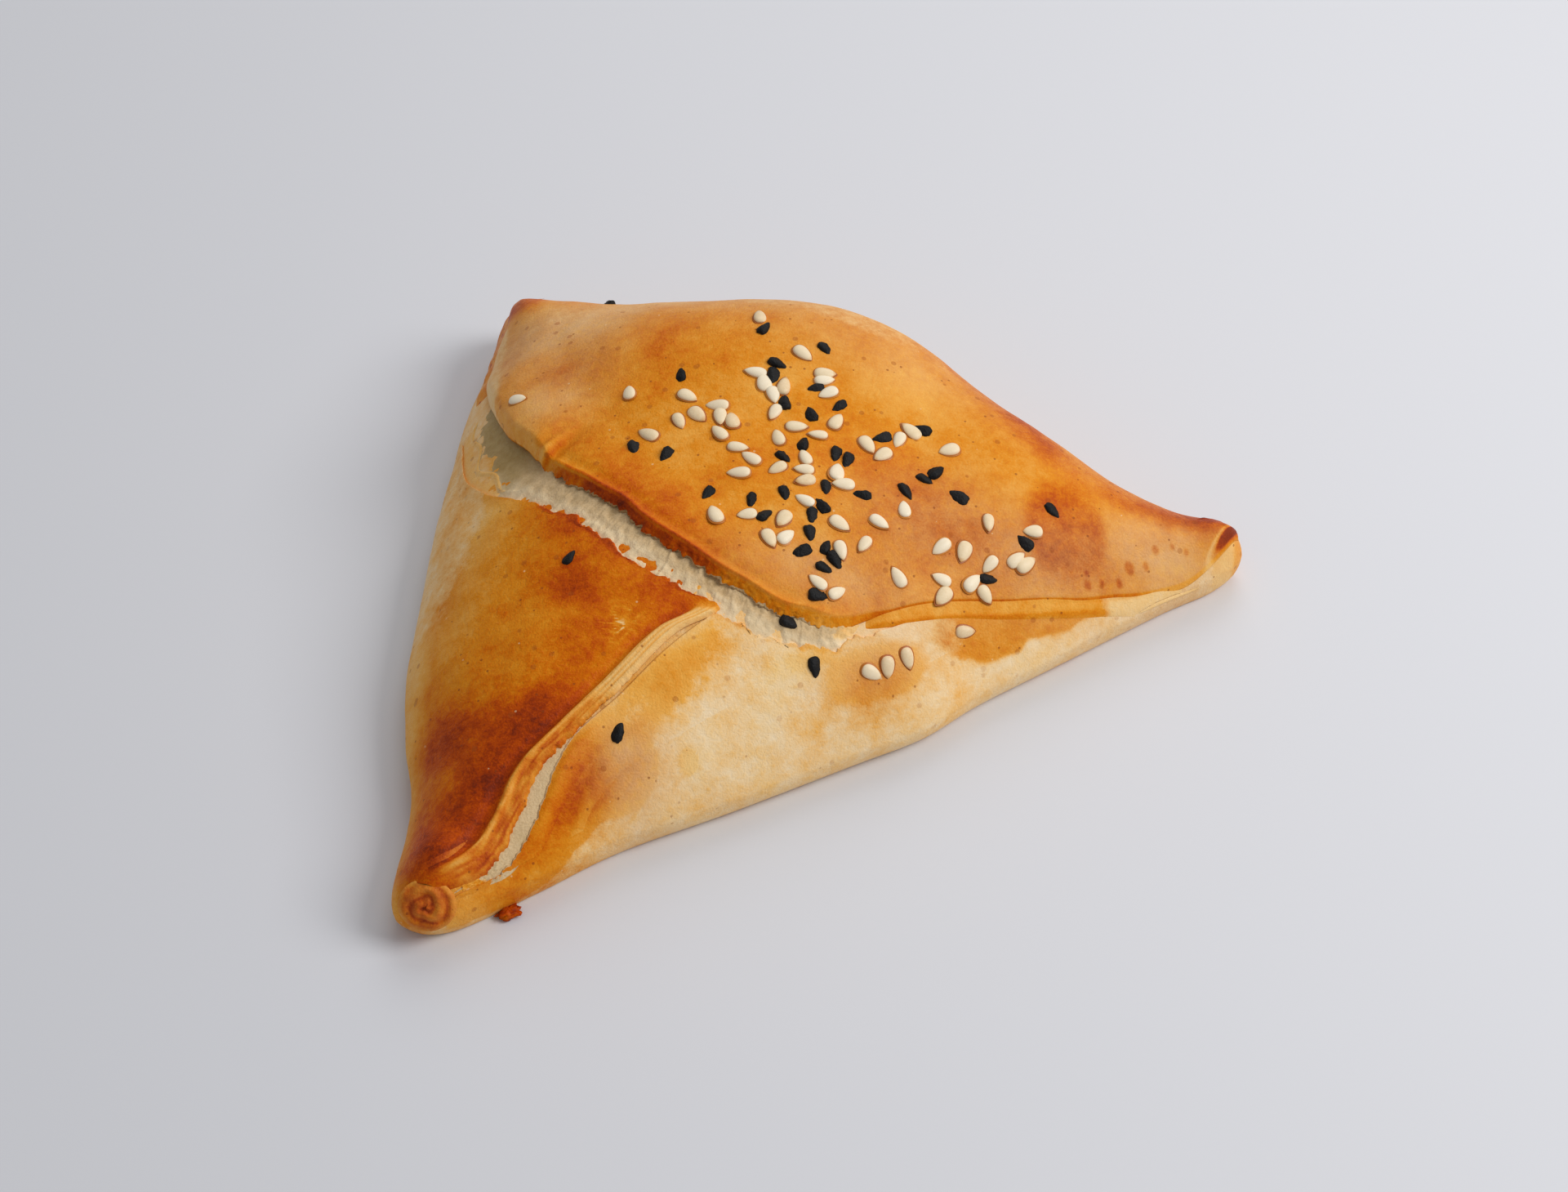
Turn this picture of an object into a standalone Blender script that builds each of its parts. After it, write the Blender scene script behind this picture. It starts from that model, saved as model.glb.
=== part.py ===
"""A baked three-cornered samosa: one piece of folded dough.

The pie is a domed triangular body with three corners: the near left, the
right and the back left. Two sheets of dough lie over it. The left flap wraps
over the left side and ends at a rolled seam. The top flap covers the back and
the right side, and its free edge has pulled away from the dough below, so
that it lifts off in a torn gap. Units are metres and +Z is up. The origin is
on the table, under the middle of the bounding box, +X runs to the right
corner and +Y to the back.
"""
import math

import bmesh
import bpy
import numpy as np

MM = 0.001

# The widest line around the pie, anticlockwise, corner by corner (mm).
NEAR_LEFT_CORNER = [(-62.4, -57.0), (-60.4, -61.2), (-54.5, -61.3)]
FRONT_SIDE = [(-43.0, -54.6), (-31.8, -47.6), (-15.0, -40.1), (3.0, -31.4),
              (13.0, -26.4), (21.5, -19.8), (33.0, -12.2), (50.6, -0.6)]
RIGHT_CORNER = [(59.0, 4.3), (62.2, 8.4), (59.6, 12.6)]
BACK_SIDE = [(50.0, 15.6), (37.0, 23.2), (26.5, 32.5), (15.0, 43.5),
             (0.0, 51.0), (-18.0, 55.3), (-35.0, 58.3)]
BACK_LEFT_CORNER = [(-47.0, 61.4), (-53.6, 59.8), (-55.6, 50.0)]
LEFT_SIDE = [(-58.5, 36.8), (-61.2, 16.8), (-63.4, -11.0), (-62.9, -28.0),
             (-60.9, -42.2)]

# The dome over that line.
RIM_HEIGHT = 4.5
DOME_RISE = 20.8
DOME_DEPTH = 16.3
DOME_POWER = 0.76
BULGE_FADE = 1.9
DOME_MIDDLE = (-8.0, 0.0)
# Where the dome stands higher: centre x, y, half-widths x, y, and height (mm).
BACK_BULGE = (4.0, 42.0, 42.0, 21.0, 10.5)
RIGHT_SHOULDER = (32.0, 20.0, 15.0, 11.0, 3.2)
BACK_LEFT_KNOB = (-50.0, 56.0, 12.0, 10.0, 2.4)
NEAR_LEFT_KNOB = (-56.5, -56.5, 5.5, 5.5, 2.6)
BULGES = [BACK_BULGE, RIGHT_SHOULDER, BACK_LEFT_KNOB, NEAR_LEFT_KNOB]

# The underside: flat, with a rounded turn up to the widest line (mm).
BASE_INSET = 2.6
BODY_SEGMENTS = 120
DOME_RINGS = 20
UNDER_RINGS = 3

# The top flap's free edge, from the back left corner to the right corner, and
# the line inside the back of the pie where its sheet ends (mm).
TOP_FREE_EDGE = [(-52.6, 55.0), (-53.6, 44.0), (-54.2, 35.0), (-53.6, 28.5),
                 (-49.6, 18.5), (-43.6, 8.0), (-36.0, -0.8), (-24.4, -11.0),
                 (-10.5, -20.4), (-3.5, -21.6), (1.5, -21.0), (8.0, -18.6),
                 (16.0, -14.8), (27.0, -10.8), (38.0, -7.0), (49.0, -1.4),
                 (58.5, 5.2)]
TOP_BACK_LINE = [(-46.0, 52.0), (-34.0, 46.0), (-18.0, 43.0), (-4.0, 39.0),
                 (8.0, 31.0), (18.0, 22.0), (30.0, 14.0), (44.0, 9.0), (57.0, 7.5)]
TOP_THICKNESS = 2.4
TOP_LIFT_AT_TEAR = 1.1
TOP_LIFT_AT_SEAM = -1.3
TOP_CORNER_LIFT = 1.2
TEAR_START = 0.26
TEAR_END = 0.58
TOP_GAP_DEPTH = 5.0
TOP_STATIONS = 60
TOP_ROWS = 11

# The left flap's edge: the rolled seam up from the near left corner, then the
# torn border that faces the top flap, and the line where its sheet ends (mm).
LEFT_EDGE = [(-54.5, -58.2), (-49.5, -54.5), (-44.8, -48.2), (-40.4, -41.0),
             (-35.8, -36.0), (-28.8, -29.6), (-22.6, -22.6), (-16.6, -18.4),
             (-22.6, -15.6), (-30.0, -10.4), (-37.0, -3.0), (-46.0, 6.0),
             (-55.0, 16.0)]
LEFT_BACK_LINE = [(-58.0, -55.0), (-58.0, -42.0), (-59.0, -26.0),
                  (-59.5, -10.0), (-58.5, 6.0), (-57.5, 16.5)]
LEFT_THICKNESS = 2.2
LEFT_PROUD = 1.2
LEFT_END_DIP = 1.6
SEAM_END = 0.62
SEAM_RIDGE = 0.9
SEAM_RIDGE_AT = 1.6
SEAM_RIDGE_WIDTH = 1.2
LEFT_STATIONS = 46
LEFT_ROWS = 9

# The split beside the seam, near the near left corner (mm).
SPLIT_FROM = (-38.6, -40.6)
SPLIT_TO = (-48.6, -57.0)
SPLIT_WIDTH = 2.6
SPLIT_DEPTH = 1.6

CRUST_COLOUR = (0.62, 0.27, 0.06, 1.0)
CRUST_ROUGHNESS = 0.45


def clear_scene():
    for thing in list(bpy.data.objects):
        bpy.data.objects.remove(thing, do_unlink=True)


def smooth_curve(points, count, closed=False):
    """Points spaced evenly along a Catmull-Rom curve through the given ones."""
    given = np.asarray(points, dtype=float)
    if closed:
        knots = np.concatenate([given[-1:], given, given[:2]])
    else:
        knots = np.concatenate([2 * given[:1] - given[1:2], given, 2 * given[-1:] - given[-2:-1]])
    step = np.linspace(0.0, 1.0, 24, endpoint=False)[:, None]
    spans = []
    for before, here, there, after in zip(knots, knots[1:], knots[2:], knots[3:]):
        slope = there - before
        bend = 2 * before - 5 * here + 4 * there - after
        twist = 3 * here - before - 3 * there + after
        spans.append(here + 0.5 * step * (slope + step * (bend + step * twist)))
    ends = given[:1] if closed else given[-1:]
    dense = np.concatenate(spans + [ends])
    lengths = np.hypot(*np.diff(dense, axis=0).T)
    travelled = np.concatenate([[0.0], np.cumsum(lengths)])
    wanted = np.linspace(0.0, travelled[-1], count, endpoint=not closed)
    return np.stack([np.interp(wanted, travelled, dense[:, axis]) for axis in (0, 1)], axis=-1)


def smoothstep(low, high, value):
    t = np.clip((value - low) / (high - low), 0.0, 1.0)
    return t * t * (3.0 - 2.0 * t)


OUTLINE = (NEAR_LEFT_CORNER + FRONT_SIDE + RIGHT_CORNER + BACK_SIDE
           + BACK_LEFT_CORNER + LEFT_SIDE)
RIM = smooth_curve(OUTLINE, 3 * BODY_SEGMENTS, closed=True)
BASE_MIDDLE = (RIM.min(axis=0) + RIM.max(axis=0)) / 2


def wall_depth(places):
    """How far inside the rim each place lies, as a smooth distance (mm)."""
    starts = RIM
    sides = np.roll(RIM, -1, axis=0) - starts
    lengths = np.hypot(sides[:, 0], sides[:, 1])
    along = sides / lengths[:, None]
    inward = np.stack([-along[:, 1], along[:, 0]], axis=-1)
    depths = np.empty(len(places))
    for index, place in enumerate(places):
        offset = place - starts
        height = (offset * inward).sum(axis=-1)
        reach = (offset * along).sum(axis=-1)
        height = np.where(np.abs(height) < 1e-6, 1e-6, height)
        near = np.maximum(np.hypot(height, reach), 1e-6)
        far = np.maximum(np.hypot(height, reach - lengths), 1e-6)
        depths[index] = 2.0 / ((reach / near - (reach - lengths) / far) / height).sum()
    return np.maximum(depths, 0.0)


def dome_height(places):
    """Height of the body's upper surface over each place (mm)."""
    depth = wall_depth(places)
    height = RIM_HEIGHT + DOME_RISE * (depth / DOME_DEPTH) ** DOME_POWER
    fade = 1.0 - np.exp(-depth / BULGE_FADE)
    for x, y, wide, deep, rise in BULGES:
        spread = ((places[:, 0] - x) / wide) ** 2 + ((places[:, 1] - y) / deep) ** 2
        height = height + fade * rise * np.exp(-spread)
    return height


def to_world(points):
    """Millimetres about the outline's own origin to metres about the base."""
    moved = np.array(points, dtype=float)
    moved[:, :2] -= BASE_MIDDLE
    return moved * MM


def new_object(name, mesh, collection):
    thing = bpy.data.objects.new(name, mesh)
    collection.objects.link(thing)
    return thing


def build_body(collection):
    """The domed body: a sphere whose rings are led onto the rim and dome."""
    rings = DOME_RINGS + UNDER_RINGS + 1
    shape = bmesh.new()
    bmesh.ops.create_uvsphere(shape, u_segments=BODY_SEGMENTS, v_segments=rings, radius=1.0)
    ring = np.array([round(math.acos(max(-1.0, min(1.0, v.co.z))) / math.pi * rings)
                     for v in shape.verts])
    turn = np.array([math.atan2(v.co.y, v.co.x) / math.tau % 1.0 for v in shape.verts])
    rim_now = RIM[np.rint(turn * len(RIM)).astype(int) % len(RIM)]
    middle = np.array(DOME_MIDDLE)
    ray = rim_now - middle
    reach = np.hypot(ray[:, 0], ray[:, 1])[:, None]

    out = 1.0 - (1.0 - np.minimum(ring / DOME_RINGS, 1.0)) ** 1.7
    places = middle + ray * out[:, None]
    heights = dome_height(places)
    heights = np.where(ring >= DOME_RINGS, RIM_HEIGHT, heights)

    quarter = (ring - DOME_RINGS) / UNDER_RINGS * math.pi / 2
    under = ring > DOME_RINGS
    inset = np.where(under, BASE_INSET * (1.0 - np.cos(np.clip(quarter, 0.0, math.pi / 2))), 0.0)
    places = np.where(under[:, None], middle + ray * (1.0 - inset[:, None] / reach), places)
    heights = np.where(under, RIM_HEIGHT * (1.0 - np.sin(np.clip(quarter, 0.0, math.pi / 2))), heights)
    bottom = ring == rings
    places[bottom] = middle
    heights[bottom] = 0.0

    spots = to_world(np.column_stack([places, heights]))
    for vertex, spot in zip(shape.verts, spots):
        vertex.co = spot
    shape.verts.ensure_lookup_table()
    pole = [vertex for vertex, low in zip(shape.verts, bottom) if low]
    bmesh.ops.dissolve_verts(shape, verts=pole)
    mesh = bpy.data.meshes.new("samosa")
    shape.to_mesh(mesh)
    shape.free()
    return new_object("samosa", mesh, collection)


def sheet(name, edge, back, rows, row_power, rise, thickness, collection):
    """A dough sheet from its edge line to its back line, as a closed solid."""
    stations = len(edge)
    shape = bmesh.new()
    bmesh.ops.create_grid(shape, x_segments=stations - 1, y_segments=rows - 1, size=1.0)
    station = np.array([round((v.co.x + 1.0) / 2.0 * (stations - 1)) for v in shape.verts])
    row = np.array([round((v.co.y + 1.0) / 2.0 * (rows - 1)) for v in shape.verts])
    across = ((row / (rows - 1)) ** row_power)[:, None]
    places = edge[station] * (1.0 - across) + back[station] * across
    from_edge = np.hypot(*(places - edge[station]).T)
    along = station / (stations - 1)
    heights = dome_height(places) + rise(along, from_edge, across[:, 0])
    spots = to_world(np.column_stack([places, heights]))
    for vertex, spot in zip(shape.verts, spots):
        vertex.co = spot
    grown = bmesh.ops.extrude_face_region(shape, geom=shape.faces[:], use_keep_orig=True)
    lower = [part for part in grown["geom"] if isinstance(part, bmesh.types.BMVert)]
    bmesh.ops.translate(shape, vec=(0.0, 0.0, -thickness * MM), verts=lower)
    bmesh.ops.recalc_face_normals(shape, faces=shape.faces)
    mesh = bpy.data.meshes.new(name)
    shape.to_mesh(mesh)
    shape.free()
    return new_object(name, mesh, collection)


def top_rise(along, from_edge, across):
    """Height of the top flap's upper face over the dome."""
    torn = smoothstep(TEAR_START - 0.04, TEAR_START, along) * smoothstep(TEAR_END + 0.04, TEAR_END, along)
    lift = TOP_LIFT_AT_SEAM + (TOP_LIFT_AT_TEAR - TOP_LIFT_AT_SEAM) * torn
    corner = TOP_CORNER_LIFT * np.exp(-((along - TEAR_START) / 0.05) ** 2)
    held = smoothstep(0.0, TOP_GAP_DEPTH, from_edge)
    sunk = (lift + corner) * (1.0 - held) - 0.6 * held
    return TOP_THICKNESS + sunk - (TOP_THICKNESS + 0.4) * smoothstep(0.35, 1.0, across)


def left_rise(along, from_edge, across):
    """Height of the left flap's upper face over the dome, with its ridge."""
    proud = LEFT_PROUD - (LEFT_PROUD + 0.7) * smoothstep(0.25, 1.0, across)
    on_seam = smoothstep(SEAM_END, SEAM_END - 0.05, along) * smoothstep(0.0, 0.1, along)
    ridge = SEAM_RIDGE * np.exp(-((from_edge - SEAM_RIDGE_AT) / SEAM_RIDGE_WIDTH) ** 2)
    ends = 1.0 - smoothstep(0.0, 0.07, along) * smoothstep(1.0, 0.88, along)
    return proud + ridge * on_seam - LEFT_END_DIP * ends


def build_split(collection):
    """The cutter for the lens-shaped split: a flattened, stretched ball."""
    start = np.array(SPLIT_FROM)
    end = np.array(SPLIT_TO)
    middle = (start + end) / 2
    heights = dome_height(np.array([start, middle, end]))
    run = end - start
    length = math.hypot(*run)
    bpy.ops.mesh.primitive_uv_sphere_add(segments=24, ring_count=12, radius=1.0)
    cutter = bpy.context.object
    cutter.name = "split cutter"
    for other in list(cutter.users_collection):
        other.objects.unlink(cutter)
    collection.objects.link(cutter)
    cutter.scale = (length / 2 * MM, SPLIT_WIDTH / 2 * MM, SPLIT_DEPTH * MM)
    pitch = math.atan2(heights[0] - heights[2], length)
    cutter.rotation_euler = (0.0, pitch, math.atan2(run[1], run[0]))
    cutter.location = to_world([[middle[0], middle[1], heights[1]]])[0]
    return cutter


def boolean(target, other, operation):
    modifier = target.modifiers.new(other.name, "BOOLEAN")
    modifier.operation = operation
    modifier.solver = "EXACT"
    modifier.object = other
    other.hide_render = True
    other.display_type = "WIRE"


def crust_material():
    material = bpy.data.materials.new("baked crust")
    material.use_nodes = True
    shader = material.node_tree.nodes["Principled BSDF"]
    shader.inputs["Base Color"].default_value = CRUST_COLOUR
    shader.inputs["Roughness"].default_value = CRUST_ROUGHNESS
    shader.inputs["Metallic"].default_value = 0.0
    return material


def main():
    clear_scene()
    pie = bpy.data.collections.new("samosa")
    cutters = bpy.data.collections.new("cutters")
    bpy.context.scene.collection.children.link(pie)
    bpy.context.scene.collection.children.link(cutters)

    body = build_body(pie)
    body.data.materials.append(crust_material())

    top_edge = smooth_curve(TOP_FREE_EDGE, TOP_STATIONS)
    top_back = smooth_curve(TOP_BACK_LINE, TOP_STATIONS)
    top = sheet("top flap", top_edge, top_back, TOP_ROWS, 1.5, top_rise, TOP_THICKNESS, cutters)

    left_edge = smooth_curve(LEFT_EDGE, LEFT_STATIONS)
    left_back = smooth_curve(LEFT_BACK_LINE, LEFT_STATIONS)
    left = sheet("left flap", left_edge, left_back, LEFT_ROWS, 1.5, left_rise, LEFT_THICKNESS, cutters)

    boolean(body, left, "UNION")
    boolean(body, top, "UNION")
    boolean(body, build_split(cutters), "DIFFERENCE")


main()
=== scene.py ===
"""A baked triangular samosa: its folded crust, torn dough and scattered seeds.

Shapes are worked out in millimetres, over the CAD model's outline and a dome
like its own, and become metres about the base's middle in to_world().
Directions: +X to the right corner, +Y to the back, +Z up.
"""
import math
import random

import bpy
import numpy as np
from mathutils import Euler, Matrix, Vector, noise
from mathutils.bvhtree import BVHTree


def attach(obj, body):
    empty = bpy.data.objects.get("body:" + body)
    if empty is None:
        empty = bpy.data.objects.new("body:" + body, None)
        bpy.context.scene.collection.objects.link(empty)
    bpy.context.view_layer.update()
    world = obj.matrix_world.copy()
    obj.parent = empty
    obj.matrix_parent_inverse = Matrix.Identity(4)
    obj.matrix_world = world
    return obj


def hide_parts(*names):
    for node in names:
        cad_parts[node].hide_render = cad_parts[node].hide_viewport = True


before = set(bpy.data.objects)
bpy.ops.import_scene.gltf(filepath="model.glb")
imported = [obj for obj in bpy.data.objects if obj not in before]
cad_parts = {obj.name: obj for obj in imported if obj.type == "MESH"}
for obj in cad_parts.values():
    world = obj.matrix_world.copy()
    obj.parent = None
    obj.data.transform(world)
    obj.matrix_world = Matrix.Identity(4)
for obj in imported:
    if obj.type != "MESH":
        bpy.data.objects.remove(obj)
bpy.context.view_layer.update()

MM = 0.001

# The outline.

# The widest line around the pastry, anticlockwise, corner by corner (mm).
NEAR_LEFT_CORNER = [(-62.4, -57), (-60.4, -61.2), (-54.5, -61.3)]
FRONT_SIDE = [
    (-43, -54.6), (-31.8, -47.6), (-15, -40.1), (3, -31.4), (13, -26.4), (21.5, -19.8), (33, -12.2),
    (50.6, -0.6)]
RIGHT_CORNER = [(59, 4.3), (62.2, 8.4), (59.6, 12.6)]
BACK_SIDE = [(50, 15.6), (37, 23.2), (26.5, 32.5), (15, 43.5), (0, 51), (-18, 55.3), (-35, 58.3)]
BACK_LEFT_CORNER = [(-47, 61.4), (-53.6, 59.8), (-55.6, 50)]
LEFT_SIDE = [(-58.5, 36.8), (-61.2, 16.8), (-63.4, -11), (-62.9, -28), (-60.9, -42.2)]
OUTLINE = NEAR_LEFT_CORNER + FRONT_SIDE + RIGHT_CORNER + BACK_SIDE + BACK_LEFT_CORNER + LEFT_SIDE

RIM_HEIGHT = 4.5
DOME_RISE = 20.8
DOME_DEPTH = 16.3
DOME_POWER = 0.76
BULGE_FADE = 1.9
DOME_MIDDLE = (-8, 0)
BASE_INSET = 2.6
# Where the dome stands higher: height, middle x and y, half-widths (mm).
BULGES = [
    (10.5, 4, 42, 42, 21), (3.2, 32, 20, 15, 11), (2.4, -50, 56, 12, 10),
    (2.6, -56.5, -56.5, 5.5, 5.5), (3.3, 60.5, 8.6, 5.2, 4.6)]

# The dough sheets' edges and the lines where they end, walked with the sheet
# on the left hand (mm).
TOP_EDGE = [
    (-52.8, 57), (-53.6, 46), (-54.6, 36), (-53.8, 29), (-50.4, 20.4), (-45, 11), (-37.8, 3),
    (-31, -3.4), (-24.6, -9.4), (-11, -18.6), (-4, -19.8), (1.5, -18.8), (6.5, -16.4), (12, -14),
    (18, -12.1), (27, -9.6), (38, -5.9), (49, -1.2), (55.6, 2.9), (58.9, 5.6), (61.3, 8.4)]
TOP_END = [
    (-48, 57.5), (-35, 54), (-18, 51), (-1, 46.5), (13, 39), (24, 28.5), (36, 19.8), (49, 14.8),
    (56, 13.4), (61.4, 11)]
LEFT_EDGE = [
    (-55, -59.8), (-50.4, -57.4), (-47.5, -54.6), (-45.7, -51.6), (-44.3, -48.6), (-43, -45.2),
    (-40.9, -41.9), (-37.4, -38.2), (-30, -30.6), (-23.6, -23.6), (-17.2, -18.8), (-23, -16.2),
    (-30.2, -11), (-36.8, -4.2), (-46.8, 4), (-52.6, 9.2), (-56.9, 17.3), (-58.2, 28)]
LEFT_END = [(-59.6, -58.4), (-59.4, -42), (-61, -26), (-61, -10), (-60, 6), (-59.4, 18), (-58.6, 28.5)]
FRONT_EDGE = [
    (57, 5), (48, -0.2), (37, -5.5), (26, -9.4), (15, -13.6), (8, -17.4), (3.6, -19.4), (-0.3, -21.6),
    (-4.7, -22.9), (-8.6, -22.2), (-13, -21.6), (-17.4, -19.8), (-19.6, -20.8), (-25, -25.6),
    (-31.4, -32.4), (-36.6, -37.2), (-39.2, -40.7), (-41.1, -45.2), (-42.6, -49), (-45, -53.2),
    (-48.6, -57.2), (-55, -60.8)]
FRONT_END = [
    (58, 4.8), (50.4, 0.8), (33, -10.6), (21, -18.2), (12.5, -24.6), (2.6, -29.8), (-15.2, -38.4),
    (-32.2, -46), (-43.4, -53.4), (-55, -61)]
PLY_EDGE = [
    (1.5, -19.9), (5.2, -18.4), (9.8, -16.9), (16.4, -14.6), (24, -12.4), (32.4, -9.5), (38.5, -7.2),
    (46, -3.8), (55, 1.9)]
PLY_END = [(2.5, -17.2), (8, -14.6), (15.5, -11.4), (26.5, -8.2), (36, -4.8), (45, -1), (54.4, 4.2)]
CORNER_PLY_EDGE = [(-52.6, 59.6), (-55, 55), (-55.3, 48), (-55.9, 41), (-57.2, 33)]
CORNER_PLY_END = [(-50.4, 58), (-51.6, 54.5), (-52, 48), (-52.4, 41), (-53.4, 33.5)]
# The strips of bare dough, each between the line on its near side and the far one.
TEAR_LOW = [
    (-58.8, 33), (-57.6, 15.8), (-51.4, 5.2), (-39.8, -4.4), (-31.8, -11.6), (-24, -17.4),
    (-17.5, -20.8), (-11, -23.2), (-5, -24.2), (0, -23), (4.5, -20.2)]
TEAR_HIGH = [
    (-51, 36), (-46, 22), (-40, 12.5), (-32.5, 4), (-21, -6), (-8.5, -15.4), (-1.5, -17), (4.5, -17)]
SPLIT_LEFT = [(-36.8, -36.4), (-41.8, -41.6), (-44.2, -46), (-45.9, -50.4), (-48, -54), (-52.4, -58)]
SPLIT_RIGHT = [(-36, -37), (-39.2, -42.8), (-41.4, -47.6), (-43.6, -52), (-46.2, -55.6), (-52, -58.8)]

# How far along the top flap's edge it is torn, from 0 to 1.
TEAR_START, TEAR_FINISH = 0.292, 0.6
# How far the top flap stands over the dome, away from its edge (mm).
TOP_HELD = 1.15
# Rough lengths of the edges, and widths of the bare strips (mm).
TOP_LENGTH, LEFT_LENGTH, FRONT_LENGTH = 170, 128, 140
TEAR_LENGTH, TEAR_WIDTH = 95, 14
SPLIT_LENGTH, SPLIT_WIDTH = 28, 4.5
# How far in from the left flap's edge the lines of its rolled seam run (mm).
SEAM_LINES = (1, 1.8, 2.6)


def smooth_curve(points, count, closed=False):
    """Points spaced evenly along a Catmull-Rom curve through the given ones."""
    given = np.asarray(points, dtype=float)
    if closed:
        knots = np.concatenate([given[-1:], given, given[:2]])
    else:
        knots = np.concatenate([2 * given[:1] - given[1:2], given, 2 * given[-1:] - given[-2:-1]])
    step = np.linspace(0, 1, 24, endpoint=False)[:, None]
    spans = []
    for before, here, there, after in zip(knots, knots[1:], knots[2:], knots[3:]):
        slope = there - before
        bend = 2 * before - 5 * here + 4 * there - after
        twist = 3 * here - before - 3 * there + after
        spans.append(here + 0.5 * step * (slope + step * (bend + step * twist)))
    ends = given[:1] if closed else given[-1:]
    dense = np.concatenate(spans + [ends])
    lengths = np.hypot(*np.diff(dense, axis=0).T)
    travelled = np.concatenate([[0], np.cumsum(lengths)])
    wanted = np.linspace(0, travelled[-1], count, endpoint=not closed)
    return np.stack([np.interp(wanted, travelled, side) for side in dense.T], axis=-1)


def smoothstep(low, high, value):
    t = np.clip((value - low) / (high - low), 0, 1)
    return t * t * (3 - 2 * t)


def bell(value, middle, width, power=2):
    """1 where the value is the middle one, fading over a width to both sides."""
    return np.exp(-((value - middle) / width) ** power)


def between(along, *stops):
    """A value led smoothly through (place, value) stops along an edge."""
    value = np.full(np.shape(along), float(stops[0][1]))
    for (here, low), (there, high) in zip(stops, stops[1:]):
        value = value + (high - low) * smoothstep(here, there, along)
    return value


def within(along, start, full, fading, finish, height=1):
    """A stretch of an edge: up from 0 to a height, and down to 0 again."""
    return between(along, (start, 0), (full, height), (fading, height), (finish, 0))


def mixed(first, second, share):
    """The first value, with a share of the second mixed in."""
    return first * (1 - share) + second * share


def unit(vectors):
    return vectors / np.linalg.norm(vectors, axis=-1, keepdims=True)


RIM = smooth_curve(OUTLINE, 360, closed=True)
BASE_MIDDLE = (RIM.min(axis=0) + RIM.max(axis=0)) / 2


def wall_depth(places):
    """How far inside the rim each place lies, as a smooth distance (mm)."""
    sides = np.roll(RIM, -1, axis=0) - RIM
    lengths = np.hypot(sides[:, 0], sides[:, 1])
    along = sides / lengths[:, None]
    inward = np.stack([-along[:, 1], along[:, 0]], axis=-1)
    depths = []
    for chunk in np.array_split(places, max(1, len(places) // 4000)):
        offset = chunk[:, None, :] - RIM[None]
        height = (offset * inward).sum(axis=-1)
        reach = (offset * along).sum(axis=-1)
        height = np.where(np.abs(height) < 1e-6, 1e-6, height)
        near = np.maximum(np.hypot(height, reach), 1e-6)
        far = np.maximum(np.hypot(height, reach - lengths), 1e-6)
        pull = ((reach / near - (reach - lengths) / far) / height).sum(axis=-1)
        depths.append(2 / pull)
    return np.maximum(np.concatenate(depths), 0)


def dome_height(places):
    """Height of the body's upper surface over each place, of any array shape."""
    flat = places.reshape(-1, 2)
    depth = wall_depth(flat)
    rise = DOME_RISE * (depth / DOME_DEPTH) ** DOME_POWER
    bulge = (1 - np.exp(-depth / BULGE_FADE)) * patched(0, flat, BULGES)
    return (RIM_HEIGHT + rise + bulge).reshape(places.shape[:-1])


def to_world(points):
    """Millimetres about the outline's own origin to metres about the base."""
    moved = np.array(points, dtype=float)
    moved[..., :2] -= BASE_MIDDLE
    return moved * MM


def lumps(points, size, seed=0, stretch=(1, 1, 1)):
    """Smooth noise, about -1 to 1, whose lumps are the given size (mm)."""
    flat = points.reshape(-1, 3) / size * np.array(stretch) + seed * 13.7
    values = np.array([noise.noise(Vector(place)) for place in flat])
    return values.reshape(points.shape[:-1])


def wiggle(values, size, seed):
    """The same noise along a line, for the jitter of an edge."""
    return np.array([noise.noise(Vector((value / size, seed * 7.3, seed * 3.1))) for value in values])


def ring_normals(points):
    """Unit normals of points in rings, whose stations run along axis 0."""
    wrapped = np.concatenate([points[-2:], points, points[:2]])
    onward = np.gradient(wrapped, axis=0)[2:-2]
    return unit(np.cross(np.gradient(points, axis=1), onward))


def linked(name, data):
    """A new object of the given data, linked to the scene."""
    thing = bpy.data.objects.new(name, data)
    bpy.context.scene.collection.objects.link(thing)
    return thing


def mesh_object(name, points, faces):
    """A smooth mesh object from arrays of points (metres) and faces."""
    mesh = bpy.data.meshes.new(name)
    mesh.from_pydata(points.tolist(), [], faces.tolist())
    mesh.shade_smooth()
    return linked(name, mesh)


def grid_object(name, points, around=False):
    """A mesh object from a grid of points in mm, stations along axis 0."""
    stations, rows = points.shape[:2]
    index = np.arange(stations * rows).reshape(stations, rows)
    after = np.roll(index, -1, axis=0) if around else index[1:]
    here = index if around else index[:-1]
    quads = np.stack([here[:, :-1], after[:, :-1], after[:, 1:], here[:, 1:]], axis=-1)
    if around:
        quads = quads[..., ::-1]
    return mesh_object(name, to_world(points).reshape(-1, 3), quads.reshape(-1, 4))


def set_field(thing, name, values):
    attribute = thing.data.attributes.new(name, "FLOAT", "POINT")
    attribute.data.foreach_set("value", np.asarray(values, dtype=np.float32).reshape(-1))


def unevenness(points):
    """How far the baked surface stands off its plain form (mm)."""
    return 0.42 * lumps(points, 17, 1) + 0.16 * lumps(points, 6.5, 2) + 0.035 * lumps(points, 2.2, 3)


# How the crust bakes.

def in_oval(points, x, y, wide, deep, turn=0):
    """Places along and across an oval, in half-widths from its middle."""
    east = points[..., 0] - x
    north = points[..., 1] - y
    c, s = math.cos(math.radians(turn)), math.sin(math.radians(turn))
    return (east * c + north * s) / wide, (north * c - east * s) / deep


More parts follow.
